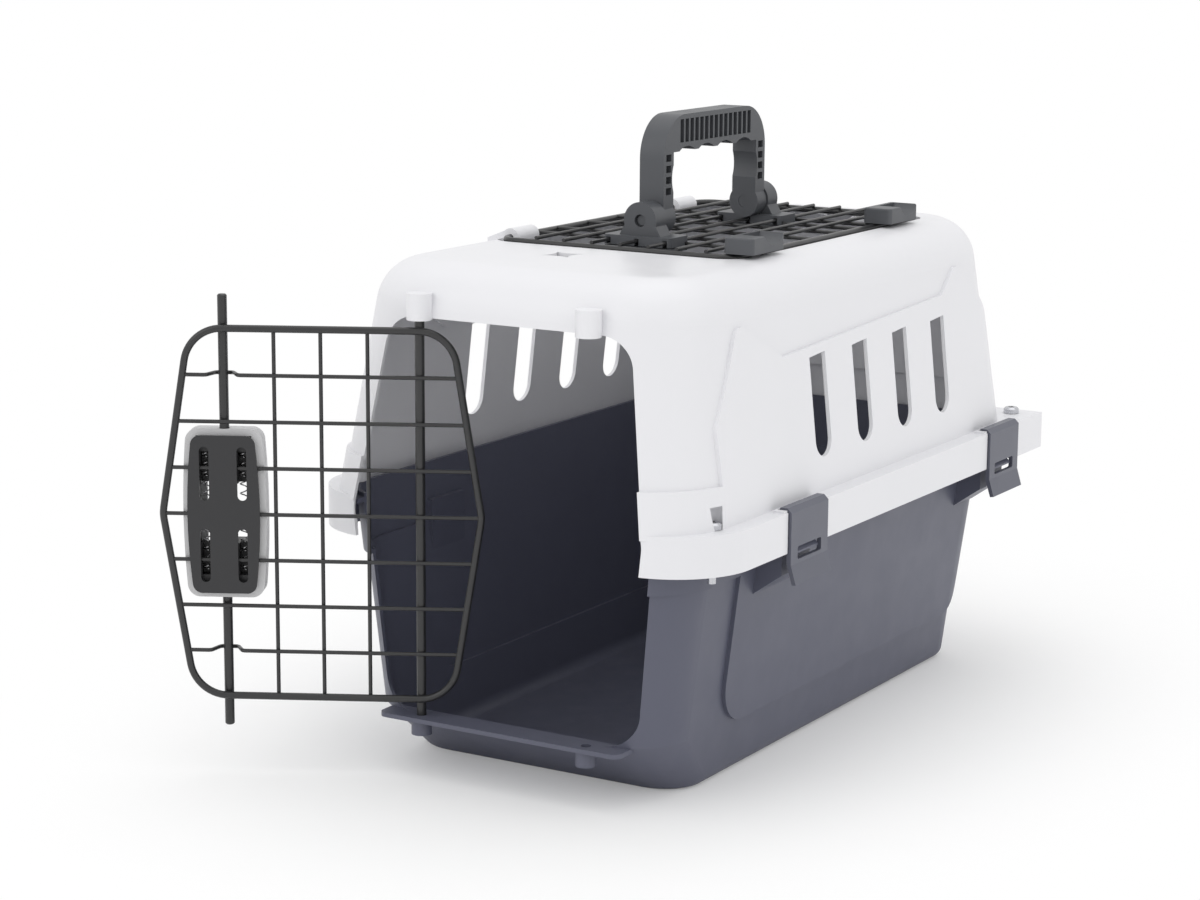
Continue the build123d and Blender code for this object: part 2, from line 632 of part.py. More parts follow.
# Front door: bent frame, welded rows and columns, and the hinge rod on their outer side
with BuildPart() as door_wires:
    with BuildLine(DOOR_FACE.offset(FRAME_LAYER)) as door_outline:
        frame_path = FilletPolyline(
            (DOOR_MID_U + DOOR_KINK_HALF, DOOR_MID_Z),
            (DOOR_MID_U + DOOR_TOP_HALF, DOOR_MID_Z + DOOR_HALF_HEIGHT),
            (DOOR_MID_U - DOOR_TOP_HALF, DOOR_MID_Z + DOOR_HALF_HEIGHT),
            (DOOR_MID_U - DOOR_KINK_HALF, DOOR_MID_Z),
            (DOOR_MID_U - DOOR_TOP_HALF, DOOR_MID_Z - DOOR_HALF_HEIGHT),
            (DOOR_MID_U + DOOR_TOP_HALF, DOOR_MID_Z - DOOR_HALF_HEIGHT),
            radius=DOOR_CORNER,
            close=True,
        )
    with BuildSketch(DOOR_ROW.offset(DOOR_MID_U)):
        with Locations((-FRAME_LAYER, DOOR_MID_Z + DOOR_HALF_HEIGHT)):
            Circle(FRAME_RADIUS)
    sweep(path=frame_path)
    for step in range(-ROW_STEPS, ROW_STEPS + 1):
        row_z = DOOR_MID_Z + step * ROW_PITCH
        half = DOOR_KINK_HALF - (DOOR_KINK_HALF - DOOR_TOP_HALF) * abs(step) * ROW_PITCH / DOOR_HALF_HEIGHT
        if abs(step) == GUIDE_STEP:
            with BuildLine(DOOR_PLAN.offset(row_z)) as row_line:
                FilletPolyline(
                    (DOOR_MID_U - half, -FRAME_LAYER),
                    (ROD_SPACING - GUIDE_RUN, -FRAME_LAYER),
                    (ROD_SPACING - GUIDE_HALF, -GUIDE_LAYER),
                    (ROD_SPACING + GUIDE_HALF, -GUIDE_LAYER),
                    (ROD_SPACING + GUIDE_RUN, -FRAME_LAYER),
                    (DOOR_MID_U + half, -FRAME_LAYER),
                    radius=GUIDE_ROUND,
                )
            with BuildSketch(DOOR_ROW.offset(DOOR_MID_U - half)):
                with Locations((-FRAME_LAYER, row_z)):
                    Circle(MESH_RADIUS)
            sweep(path=row_line.line)
        else:
            with BuildSketch(DOOR_ROW.offset(DOOR_MID_U - half)):
                with Locations((-FRAME_LAYER, row_z)):
                    Circle(MESH_RADIUS)
            extrude(amount=2 * half)
    for step in (-1, 0, 1):
        with BuildSketch(DOOR_PLAN.offset(DOOR_MID_Z - DOOR_HALF_HEIGHT)):
            with Locations((DOOR_MID_U + step * COLUMN_PITCH, -COLUMN_LAYER)):
                Circle(MESH_RADIUS)
        extrude(amount=2 * DOOR_HALF_HEIGHT)
    with BuildSketch(DOOR_PLAN.offset(ROD_LOW_Z)):
        Circle(ROD_RADIUS)
    extrude(amount=ROD_TOP_Z - ROD_LOW_Z)
door_wires.part.label = "door_wire_frame"


def latch_outline(half_height, end_half, mid_half, corner):
    """Barrel-sided outline of the latch, seen from outside the door."""
    with BuildSketch() as sketch:
        with BuildLine():
            low = DOOR_MID_Z - half_height
            high = DOOR_MID_Z + half_height
            Line((ROD_SPACING - end_half, low), (ROD_SPACING + end_half, low))
            ThreePointArc(
                (ROD_SPACING + end_half, low),
                (ROD_SPACING + mid_half, DOOR_MID_Z),
                (ROD_SPACING + end_half, high),
            )
            Line((ROD_SPACING + end_half, high), (ROD_SPACING - end_half, high))
            ThreePointArc(
                (ROD_SPACING - end_half, high),
                (ROD_SPACING - mid_half, DOOR_MID_Z),
                (ROD_SPACING - end_half, low),
            )
        make_face()
        fillet(sketch.vertices(), radius=corner)
    return sketch.sketch


CAVITY_HALF = PAD_HALF_WIDTH + RUN_GAP
TRACK_SPOTS = [ROD_SPACING + side * TRACK_SPACING / 2 for side in (-1, 1)]

# Latch housing: a shallow cover open at the back, with a window for the two pulls
with BuildPart() as housing:
    with BuildSketch(DOOR_FACE.offset(LATCH_BACK)):
        add(latch_outline(LATCH_HALF_HEIGHT, LATCH_END_HALF, LATCH_MID_HALF, LATCH_ROUND))
    extrude(amount=LATCH_DEPTH)
    fillet(housing.faces().filter_by(DOOR_FACE).sort_by(Axis.Y)[-1].edges(), radius=3)
    with BuildSketch(DOOR_FACE.offset(LATCH_BACK)):
        with Locations((ROD_SPACING, DOOR_MID_Z)):
            Rectangle(2 * CAVITY_HALF, 2 * (LATCH_HALF_HEIGHT - LATCH_WALL - 2))
    extrude(amount=LATCH_DEPTH - LATCH_WALL, mode=Mode.SUBTRACT)
    with BuildSketch(DOOR_FACE.offset(LATCH_BACK)):
        with Locations((ROD_SPACING, DOOR_MID_Z)):
            RectangleRounded(2 * (PAD_LIP_HALF + 1), 2 * (PAD_START + PAD_LENGTH), 4)
    extrude(amount=LATCH_DEPTH + 1, mode=Mode.SUBTRACT)
    with BuildSketch(DOOR_PLAN.offset(DOOR_MID_Z - LATCH_HALF_HEIGHT - 1)):
        with Locations((ROD_SPACING, -LATCH_ROD_LAYER)):
            Circle(ROD_RADIUS + SEAT_GAP)
    extrude(amount=2 * LATCH_HALF_HEIGHT + 2, mode=Mode.SUBTRACT)
    # Stops that the four springs push against
    with BuildSketch(DOOR_FACE.offset(LATCH_BACK)):
        with Locations(*[(u, DOOR_MID_Z) for u in TRACK_SPOTS]):
            Rectangle(TRACK_WIDTH + 2, 2 * STOP_HALF)
        with Locations((ROD_SPACING - CAVITY_HALF, DOOR_MID_Z), (ROD_SPACING + CAVITY_HALF, DOOR_MID_Z)):
            Rectangle(8, 2 * STOP_HALF)
    extrude(amount=LATCH_DEPTH - LATCH_WALL / 2)
housing.part.label = "latch_housing"

# Back plate of the latch on the inner side of the wires, with a window to each spring
with BuildPart() as back_plate:
    with BuildSketch(DOOR_FACE.offset(PLATE_BACK)):
        add(latch_outline(PLATE_HALF_HEIGHT, PLATE_END_HALF, PLATE_MID_HALF, LATCH_ROUND - 2))
        with Locations(*[(u, DOOR_MID_Z + way * 26) for u in TRACK_SPOTS for way in (-1, 1)]):
            SlotOverall(TRACK_LENGTH, TRACK_WIDTH, rotation=90, mode=Mode.SUBTRACT)
    extrude(amount=PLATE_THICK)
back_plate.part.label = "latch_back_plate"


def pull(way):
    """One squeeze pull of the latch: way is 1 for the upper and -1 for the lower."""
    back = LATCH_BACK + SEAT_GAP
    pad_z = DOOR_MID_Z + way * (PAD_START + PAD_LENGTH / 2)
    with BuildPart() as pad:
        with BuildSketch(DOOR_FACE.offset(back)):
            with Locations((ROD_SPACING, pad_z)):
                RectangleRounded(2 * PAD_HALF_WIDTH, PAD_LENGTH, 1.5)
        extrude(amount=PAD_DEPTH)
        with BuildSketch(DOOR_FACE.offset(back)):
            with Locations((ROD_SPACING, DOOR_MID_Z + way * (PAD_START + PAD_LIP_THICK / 2))):
                RectangleRounded(2 * PAD_LIP_HALF, PAD_LIP_THICK, 1.5)
        extrude(amount=LATCH_DEPTH + PAD_LIP)
        with BuildSketch(DOOR_PLAN.offset(DOOR_MID_Z + way * (PAD_START + PAD_LENGTH - ROD_GRIP))):
            with Locations((ROD_SPACING, -LATCH_ROD_LAYER)):
                Circle(ROD_RADIUS + FIT_GAP)
        extrude(amount=way * (ROD_GRIP + 1), mode=Mode.SUBTRACT)
        with BuildSketch(DOOR_FACE.offset(back)):
            for u in TRACK_SPOTS:
                with Locations((u, DOOR_MID_Z + way * (STOP_HALF + SPRING_LENGTH / 2))):
                    Rectangle(2 * (SPRING_RADIUS + SPRING_WIRE + SEAT_GAP), SPRING_LENGTH + 2 * SEAT_GAP)
        extrude(amount=2 * (SPRING_RADIUS + SPRING_WIRE + SEAT_GAP), mode=Mode.SUBTRACT)
    return pad.part


def latch_rod(way):
    """Round rod that a pull drives into its socket."""
    grip_z = DOOR_MID_Z + way * (PAD_START + PAD_LENGTH - ROD_GRIP + SEAT_GAP)
    end_z = ROD_TOP_Z if way > 0 else ROD_LOW_Z
    with BuildPart() as rod:
        with BuildSketch(DOOR_PLAN.offset(min(grip_z, end_z))):
            with Locations((ROD_SPACING, -LATCH_ROD_LAYER)):
                Circle(ROD_RADIUS)
        extrude(amount=abs(end_z - grip_z))
        tips = rod.edges().filter_by(GeomType.CIRCLE).sort_by(Axis.Z)
        chamfer(tips[-1] if way > 0 else tips[0], length=0.8)
    return rod.part


def latch_springs(way):
    """Two coil springs that push a pull outward."""
    start_z = DOOR_MID_Z + way * (STOP_HALF + SEAT_GAP + SPRING_WIRE)
    length = SPRING_LENGTH - 2 * SPRING_WIRE
    layer = LATCH_BACK + SEAT_GAP + SPRING_RADIUS + SPRING_WIRE
    with BuildPart() as springs:
        for u in TRACK_SPOTS:
            spot = DOOR_PLAN.from_local_coords(Vector(u, -layer, min(start_z, start_z + way * length)))
            with BuildLine(Plane(origin=spot, x_dir=DOOR_ALONG, z_dir=(0, 0, 1))) as coil:
                Helix(pitch=length / SPRING_TURNS, height=length, radius=SPRING_RADIUS)
            with BuildSketch(Plane(origin=coil.line @ 0, z_dir=coil.line % 0)):
                RegularPolygon(SPRING_WIRE, 6)
            sweep(path=coil.line, is_frenet=True)
    return springs.part


with BuildPart() as upper_pull:
    add(pull(1))
upper_pull.part.label = "upper_latch_pull"

with BuildPart() as lower_pull:
    add(pull(-1))
lower_pull.part.label = "lower_latch_pull"

with BuildPart() as upper_rod:
    add(latch_rod(1))
upper_rod.part.label = "upper_latch_rod"

with BuildPart() as lower_rod:
    add(latch_rod(-1))
lower_rod.part.label = "lower_latch_rod"

with BuildPart() as upper_springs:
    add(latch_springs(1))
upper_springs.part.label = "upper_latch_springs"

with BuildPart() as lower_springs:
    add(latch_springs(-1))
lower_springs.part.label = "lower_latch_springs"

# Top door: bent frame with welded wires
with BuildPart() as top_wires:
    with BuildLine(Plane.XY.offset(ROOF_Z)) as top_outline:
        top_path = FilletPolyline(
            (HINGE_WIRE_X, TOP_FRAME_FRONT),
            (LATCH_WIRE_X, TOP_FRAME_FRONT),
            (LATCH_WIRE_X, TOP_FRAME_BACK),
            (HINGE_WIRE_X, TOP_FRAME_BACK),
            radius=TOP_FRAME_CORNER,
            close=True,
        )
    with BuildSketch(Plane.XZ):
        with Locations((LATCH_WIRE_X, ROOF_Z)):
            Circle(FRAME_RADIUS)
    sweep(path=top_path)
    with BuildSketch(Plane.XZ.offset(-TOP_FRAME_BACK)):
        steps = range(-TOP_WIRE_STEPS, TOP_WIRE_STEPS + 1)
        with Locations(*[(step * TOP_WIRE_PITCH, TOP_WIRE_Z) for step in steps]):
            Circle(MESH_RADIUS)
    extrude(amount=TOP_FRAME_BACK - TOP_FRAME_FRONT)
    with BuildSketch(Plane.YZ.offset(HINGE_WIRE_X)):
        with Locations(*[(y, TOP_CROSS_Z) for y in TOP_CROSS_Y]):
            Circle(MESH_RADIUS)
    extrude(amount=LATCH_WIRE_X - HINGE_WIRE_X)
top_wires.part.label = "top_door_wire_frame"


def top_latch(y):
    """Sliding catch of the top door: a thumb piece above the frame wire and a tongue below it."""
    with BuildPart() as latch:
        low_z = ROOF_Z + FRAME_RADIUS + RUN_GAP
        with BuildSketch(Plane.XY.offset(low_z)):
            with Locations(((TOP_LATCH_LEFT + TOP_LATCH_RIGHT) / 2, y)):
                RectangleRounded(TOP_LATCH_RIGHT - TOP_LATCH_LEFT, TOP_LATCH_LENGTH, 2.5)
        extrude(amount=TOP_LATCH_HEIGHT)
        fillet(latch.faces().sort_by(Axis.Z)[-1].edges(), radius=1.2)
        # Dished thumb scoop, open to the outer side
        with BuildSketch(Plane.YZ.offset(TOP_LATCH_LEFT + 4)):
            with Locations((y + 7, low_z + TOP_LATCH_HEIGHT + SCOOP_RADIUS - 7)):
                Circle(SCOOP_RADIUS)
        extrude(amount=TOP_LATCH_RIGHT - TOP_LATCH_LEFT, mode=Mode.SUBTRACT)
        tongue_top = ROOF_Z - FRAME_RADIUS - TONGUE_DROP
        with BuildSketch(Plane.XY.offset(tongue_top - TONGUE_THICK)):
            with Locations((TOP_WEB_LEFT + TOP_WEB_THICK / 2, y)):
                Rectangle(TOP_WEB_THICK, TOP_WEB_LENGTH)
        extrude(amount=low_z + 1 - tongue_top + TONGUE_THICK)
        with BuildSketch(Plane.XY.offset(tongue_top - TONGUE_THICK)):
            with Locations(((TOP_WEB_LEFT + TONGUE_RIGHT) / 2, y)):
                Rectangle(TONGUE_RIGHT - TOP_WEB_LEFT, TOP_WEB_LENGTH)
        extrude(amount=TONGUE_THICK)
    return latch.part


with BuildPart() as top_latch_front:
    add(top_latch(TOP_LATCH_Y[0]))
top_latch_front.part.label = "top_latch_front"

with BuildPart() as top_latch_rear:
    add(top_latch(TOP_LATCH_Y[1]))
top_latch_rear.part.label = "top_latch_rear"

# Carry handle: a bow with ribs and pockets on both sides of a middle web
GRIP_LOW_Z = HANDLE_TOP_Z - HANDLE_GRIP
with BuildPart() as handle:
    with BuildSketch(Plane.YZ) as bow:
        with BuildLine():
            Polyline(
                (-HANDLE_HALF_LENGTH, PIVOT_Z - HANDLE_EYE),
                (-HANDLE_HALF_LENGTH, HANDLE_TOP_Z),
                (HANDLE_HALF_LENGTH, HANDLE_TOP_Z),
                (HANDLE_HALF_LENGTH, PIVOT_Z - HANDLE_EYE),
                close=True,
            )
        make_face()
        fillet(bow.vertices().group_by(Axis.Y)[-1], radius=HANDLE_CORNER)
        with BuildLine():
            Polyline(
                (-HANDLE_HALF_LENGTH + HANDLE_LEG, PIVOT_Z - HANDLE_EYE - 1),
                (-HANDLE_HALF_LENGTH + HANDLE_LEG, GRIP_LOW_Z),
                (HANDLE_HALF_LENGTH - HANDLE_LEG, GRIP_LOW_Z),
                (HANDLE_HALF_LENGTH - HANDLE_LEG, PIVOT_Z - HANDLE_EYE - 1),
                close=True,
            )
        make_face(mode=Mode.SUBTRACT)
    extrude(amount=HANDLE_EYE, both=True)
    # Legs end in a round eye and the grip is a little narrower
    with BuildSketch(Plane.XZ.offset(-2 * HANDLE_HALF_LENGTH)):
        with Locations((0, PIVOT_Z)):
            Circle(HANDLE_EYE)
        with Locations((0, (PIVOT_Z + HANDLE_TOP_Z) / 2 + 5)):
            Rectangle(2 * HANDLE_HALF_WIDTH, HANDLE_TOP_Z - PIVOT_Z + 10)
    extrude(amount=4 * HANDLE_HALF_LENGTH, mode=Mode.INTERSECT)
    # Finger scallops under the grip
    with BuildSketch(Plane.YZ.offset(-HANDLE_EYE)):
        for finger in range(FINGER_COUNT):
            finger_y = (finger - (FINGER_COUNT - 1) / 2) * FINGER_PITCH
            with Locations((finger_y, GRIP_LOW_Z - FINGER_RADIUS + FINGER_DEPTH)):
                Circle(FINGER_RADIUS)
    extrude(amount=2 * HANDLE_EYE, mode=Mode.SUBTRACT)
    # Pockets between the ribs, on both sides of the web
    for side in (-1, 1):
        with BuildSketch(Plane.YZ.offset(side * HANDLE_EYE)):
            with Locations((0, HANDLE_TOP_Z - HANDLE_SKIN - POCKET_HEIGHT / 2)):
                with GridLocations(GRIP_POCKET_PITCH, 1, GRIP_POCKETS, 1):
                    Rectangle(POCKET_WIDTH, POCKET_HEIGHT)
            for leg in (-1, 1):
                with Locations((leg * (HANDLE_HALF_LENGTH - HANDLE_LEG / 2), LEG_POCKET_MID_Z)):
                    with GridLocations(1, LEG_POCKET_PITCH, 1, LEG_POCKETS):
                        Rectangle(HANDLE_LEG - 2 * HANDLE_SKIN, POCKET_WIDTH)
        extrude(amount=-side * (HANDLE_EYE - HANDLE_WEB / 2), mode=Mode.SUBTRACT)
    with BuildSketch(Plane.XZ.offset(-2 * HANDLE_HALF_LENGTH)):
        with Locations((0, PIVOT_Z)):
            Circle(PIN_RADIUS + FIT_GAP)
    extrude(amount=4 * HANDLE_HALF_LENGTH, mode=Mode.SUBTRACT)
handle.part.label = "handle_grip"

# Pins pressed through the legs of the handle and turning in the brackets
with BuildPart() as pins:
    with BuildSketch(Plane.XZ.offset(HANDLE_HALF_LENGTH - HANDLE_LEG + SEAT_GAP)):
        with Locations((0, PIVOT_Z)):
            Circle(PIN_RADIUS)
    extrude(amount=HANDLE_LEG + BRACKET_DEPTH - 2)
    chamfer(pins.faces().sort_by(Axis.Y)[0].edges(), length=0.8)
    mirror(about=Plane.XZ)
pins.part.label = "handle_pins"

# Brackets that carry the pins and sit over the welded wires of the top door
BRACKET_INNER = HANDLE_HALF_LENGTH + 2 * SEAT_GAP
FOOT_LOW_Z = TOP_CROSS_Z - MESH_RADIUS + SEAT_GAP
with BuildPart() as brackets:
    with BuildSketch(Plane.XZ.offset(BRACKET_INNER)) as bracket_side:
        with BuildLine():
            Polyline(
                (-BRACKET_FOOT_HALF + 6, FOOT_LOW_Z),
                (-BRACKET_RING * 0.8, PIVOT_Z),
                (BRACKET_RING * 0.8, PIVOT_Z),
                (BRACKET_FOOT_HALF - 6, FOOT_LOW_Z),
                close=True,
            )
        make_face()
        with Locations((0, PIVOT_Z)):
            Circle(BRACKET_RING)
    extrude(amount=BRACKET_DEPTH)
    with BuildSketch(Plane.XY.offset(FOOT_LOW_Z)):
        with Locations((0, -(BRACKET_FOOT_INNER + BRACKET_FOOT_OUTER) / 2)):
            RectangleRounded(2 * BRACKET_FOOT_HALF, BRACKET_FOOT_OUTER - BRACKET_FOOT_INNER, 3)
    extrude(amount=WIRE_TOP_Z + BRACKET_FOOT_TOP - FOOT_LOW_Z)
    # Bore for the pin, stopped by a wall with the round pin end showing
    with BuildSketch(Plane.XZ.offset(BRACKET_INNER - 1)):
        with Locations((0, PIVOT_Z)):
            Circle(PIN_RADIUS + FIT_GAP)
    extrude(amount=BRACKET_DEPTH + 2, mode=Mode.SUBTRACT)
    # Clearance for the eye of the handle, which turns beside the foot
    with BuildSketch(Plane.XZ.offset(BRACKET_FOOT_INNER - 1)):
        with Locations((0, PIVOT_Z)):
            Circle(HANDLE_EYE + RUN_GAP)
    extrude(amount=BRACKET_INNER - BRACKET_FOOT_INNER + 1, mode=Mode.SUBTRACT)
    # Slots over the wires, open downward
    with BuildSketch(Plane.XY.offset(FOOT_LOW_Z - 1)):
        with Locations((-TOP_WIRE_PITCH, -75), (0, -75), (TOP_WIRE_PITCH, -75)):
            Rectangle(2 * (MESH_RADIUS + SEAT_GAP), 60)
    extrude(amount=WIRE_TOP_Z + SEAT_GAP - FOOT_LOW_Z + 1, mode=Mode.SUBTRACT)
    with BuildSketch(Plane.XY.offset(FOOT_LOW_Z - 1)):
        with Locations((0, TOP_CROSS_Y[0])):
            Rectangle(80, 2 * (MESH_RADIUS + SEAT_GAP))
    extrude(amount=TOP_CROSS_Z + MESH_RADIUS + SEAT_GAP - FOOT_LOW_Z + 1, mode=Mode.SUBTRACT)
    with BuildSketch(Plane.XY.offset(FOOT_LOW_Z - 1)):
        with Locations(*[(side * CLAMP_SCREW_X, SCREW_Y) for side in (-1, 1)]):
            Circle(SCREW_RADIUS + FIT_GAP)
    extrude(amount=WIRE_TOP_Z - FOOT_LOW_Z + 2, mode=Mode.SUBTRACT)
    mirror(about=Plane.XZ)
brackets.part.label = "handle_brackets"

# Clamp plates below the wires, one under each bracket
CLAMP_TOP_Z = TOP_CROSS_Z - MESH_RADIUS - SEAT_GAP
with BuildPart() as clamps:
    with BuildSketch(Plane.XY.offset(CLAMP_TOP_Z - CLAMP_THICK)):
        with Locations((0, -(BRACKET_FOOT_INNER + BRACKET_FOOT_OUTER) / 2)):
            RectangleRounded(2 * BRACKET_FOOT_HALF, BRACKET_FOOT_OUTER - BRACKET_FOOT_INNER, 3)
        with Locations(*[(side * CLAMP_SCREW_X, SCREW_Y) for side in (-1, 1)]):
            Circle(SCREW_RADIUS + FIT_GAP, mode=Mode.SUBTRACT)
    extrude(amount=CLAMP_THICK)
    mirror(about=Plane.XZ)
clamps.part.label = "handle_clamps"

# Screws that draw the clamps up to the brackets
with BuildPart() as screws:
    head_top = CLAMP_TOP_Z - CLAMP_THICK - SEAT_GAP
    with BuildSketch(Plane.XY.offset(head_top - SCREW_HEAD)):
        with Locations(*[(side * CLAMP_SCREW_X, SCREW_Y) for side in (-1, 1)]):
            Circle(SCREW_HEAD_RADIUS)
    extrude(amount=SCREW_HEAD)
    with BuildSketch(Plane.XY.offset(head_top - SCREW_HEAD)):
        with Locations(*[(side * CLAMP_SCREW_X, SCREW_Y) for side in (-1, 1)]):
            Circle(SCREW_RADIUS)
    extrude(amount=WIRE_TOP_Z - head_top + SCREW_HEAD)
    mirror(about=Plane.XZ)
screws.part.label = "handle_clamp_screws"


def clip(side, y):
    """Side clip with its hinge barrel, window and flared thumb tab: side is 1 on the right."""
    inner_x = CLIP_OUT_X - CLIP_THICK
    with BuildPart() as piece:
        with BuildSketch(Plane.XZ.offset(-y)) as profile:
            with Locations((CLIP_PIVOT_X, CLIP_PIVOT_Z)):
                Circle(CLIP_BARREL)
            with BuildLine():
                Polyline(
                    (CLIP_PIVOT_X - CLIP_BARREL, CLIP_PIVOT_Z),
                    (CLIP_PIVOT_X - 1.5, CLIP_TOP_Z),
                    (CLIP_OUT_X - 3, CLIP_TOP_Z),
                    (CLIP_OUT_X, CLIP_TOP_Z - 3),
                    (CLIP_OUT_X, CLIP_FLARE_Z),
                    (CLIP_OUT_X + CLIP_FLARE, CLIP_LOW_Z),
                    (CLIP_OUT_X + CLIP_FLARE - CLIP_THICK + 0.4, CLIP_LOW_Z - 0.4),
                    (inner_x, CLIP_FLARE_Z),
                    (inner_x, CLIP_PIVOT_Z - 2),
                    (CLIP_PIVOT_X, CLIP_PIVOT_Z),
                    close=True,
                )
            make_face()
        extrude(amount=CLIP_WIDTH / 2, both=True)
        with BuildSketch(Plane.XZ.offset(-y)):
            with Locations((CLIP_PIVOT_X, CLIP_PIVOT_Z)):
                Circle(CLIP_PIN)
        extrude(amount=CLIP_WIDTH / 2 + CLIP_SIDE_GAP + CLIP_PIN_LENGTH - SEAT_GAP, both=True)
        with BuildSketch(Plane.YZ.offset(CLIP_PIVOT_X + CLIP_BARREL)):
            with Locations((y, (WINDOW_LOW_Z + WINDOW_TOP_Z) / 2)):
                RectangleRounded(WINDOW_WIDTH, WINDOW_TOP_Z - WINDOW_LOW_Z, 1.5)
        extrude(amount=20, mode=Mode.SUBTRACT)
        if side < 0:
            mirror(about=Plane.YZ, mode=Mode.REPLACE)
    return piece.part


with BuildPart() as clip_front_right:
    add(clip(1, CLIP_Y[0]))
clip_front_right.part.label = "clip_front_right"

with BuildPart() as clip_rear_right:
    add(clip(1, CLIP_Y[1]))
clip_rear_right.part.label = "clip_rear_right"

with BuildPart() as clip_front_left:
    add(clip(-1, CLIP_Y[0]))
clip_front_left.part.label = "clip_front_left"

with BuildPart() as clip_rear_left:
    add(clip(-1, CLIP_Y[1]))
clip_rear_left.part.label = "clip_rear_left"

# Four bolts through the flange and the tub's ledge, with their nuts
with BuildPart() as bolts:
    with BuildSketch(Plane.XY.offset(BOLT_END_Z)):
        with Locations(*BOLT_SPOTS):
            Circle(BOLT_RADIUS)
    extrude(amount=FLANGE_TOP_Z + SEAT_GAP + 1 - BOLT_END_Z)
    with BuildSketch(Plane.XY.offset(FLANGE_TOP_Z + SEAT_GAP)):
        with Locations(*BOLT_SPOTS):
            Circle(BOLT_HEAD_RADIUS)
    extrude(amount=BOLT_HEAD)
    chamfer(bolts.faces().sort_by(Axis.Z)[-4:].edges(), length=1.2)
bolts.part.label = "security_bolts"

with BuildPart() as nuts:
    with BuildSketch(Plane.XY.offset(TOWER_LOW_Z - SEAT_GAP - NUT_HEIGHT)):
        with Locations(*BOLT_SPOTS):
            RegularPolygon(NUT_RADIUS, 6)
            Circle(BOLT_RADIUS + FIT_GAP, mode=Mode.SUBTRACT)
    extrude(amount=NUT_HEIGHT)
nuts.part.label = "security_nuts"

SUBPARTS = (
    tub,
    canopy,
    bolts,
    nuts,
    clip_front_right,
    clip_rear_right,
    clip_front_left,
    clip_rear_left,
    door_wires,
    housing,
    back_plate,
    upper_pull,
    upper_rod,
    upper_springs,
    lower_pull,
    lower_rod,
    lower_springs,
    top_wires,
    brackets,
    clamps,
    screws,
    top_latch_front,
    top_latch_rear,
    handle,
    pins,
)
os.makedirs("parts", exist_ok=True)
for piece in SUBPARTS:
    export_step(piece.part, f"parts/{piece.part.label}.step")
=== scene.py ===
import math

import bmesh
import bpy
from mathutils import Matrix, Vector


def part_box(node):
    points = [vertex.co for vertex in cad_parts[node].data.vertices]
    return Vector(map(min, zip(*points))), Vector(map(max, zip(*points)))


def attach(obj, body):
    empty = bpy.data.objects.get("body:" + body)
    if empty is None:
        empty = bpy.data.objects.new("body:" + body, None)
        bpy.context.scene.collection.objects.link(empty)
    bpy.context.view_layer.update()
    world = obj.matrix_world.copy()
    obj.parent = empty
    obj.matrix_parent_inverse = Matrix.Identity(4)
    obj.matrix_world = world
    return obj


bl_info = {
    "name": "Pet Carrier Dresser",
    "version": (1, 0, 0),
    "blender": (4, 5, 0),
    "location": "View3D > Sidebar > Carrier",
    "description": "Gives the packed pet carrier its surfaces, small details and studio",
    "category": "Object",
}

MM = 0.001

# Dark cross of painted shade standing for the recess in each bolt head, in millimetres
BOLT_HEAD_RADIUS = 5.5
RECESS_LENGTH = 4.2
RECESS_WIDTH = 1.1
RECESS_HEIGHT = 0.3
RECESS_SINK = 0.05

# Camera, fitted to the photograph, in metres and millimetres
CAMERA_PLACE = (0.9175, -1.6659, 0.5514)
SENSOR_WIDTH = 36.0

# Paper floor: half its side in metres, and its drop below the base in millimetres
FLOOR_REACH = 9.0
FLOOR_DROP = 0.3

# Oval round the carrier where the paper shows its shading, in millimetres across
FADE_START = 190.0
FADE_END = 430.0
FADE_LIFT = 0.2
OVAL_DEPTH = 0.62

# Softboxes: place and side, in metres
KEY_PLACE = (-0.9, -2.3, 1.7)
KEY_SIDE = 1.8
TOP_PLACE = (0.1, 0.2, 2.5)
TOP_SIDE = 2.4
FILL_PLACE = (2.4, -0.6, 1.4)
FILL_SIDE = 1.6
LIGHT_TARGET = (0.0, 0.0, 0.16)

# Edges sharper than these angles are broken, or shaded as sharp
BREAK_ANGLE = 38
SHADE_ANGLE = 32

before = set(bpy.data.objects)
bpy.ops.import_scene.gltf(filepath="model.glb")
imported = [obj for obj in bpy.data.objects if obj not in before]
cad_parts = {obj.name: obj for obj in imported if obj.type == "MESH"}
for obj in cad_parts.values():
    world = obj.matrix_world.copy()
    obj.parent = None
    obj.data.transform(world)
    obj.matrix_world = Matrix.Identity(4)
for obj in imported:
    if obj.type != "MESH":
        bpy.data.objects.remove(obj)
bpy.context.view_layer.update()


def linear(code):
    """Linear RGBA of an sRGB hex colour."""
    parts = [int(code[i:i + 2], 16) / 255 for i in (0, 2, 4)]
    return [c / 12.92 if c <= 0.04045 else ((c + 0.055) / 1.055) ** 2.4 for c in parts] + [1.0]


def add_node(tree, kind, links=None, **inputs):
    """New shader node with its socket values, linked from the sockets in links."""
    node = tree.nodes.new(kind)
    for name, value in inputs.items():
        key = name.replace("_", " ")
        if key in node.inputs:
            node.inputs[key].default_value = value
        else:
            setattr(node, name, value)
    for name, socket in (links or {}).items():
        tree.links.new(socket, node.inputs[name])
    return node


def new_material(name):
    """Empty node material with its shader, ready for the surface's own nodes."""
    material = bpy.data.materials.new(name)
    material.use_nodes = True
    tree = material.node_tree
    tree.nodes.clear()
    output = add_node(tree, "ShaderNodeOutputMaterial")
    shader = add_node(tree, "ShaderNodeBsdfPrincipled")
    tree.links.new(shader.outputs["BSDF"], output.inputs["Surface"])
    return material, tree, shader


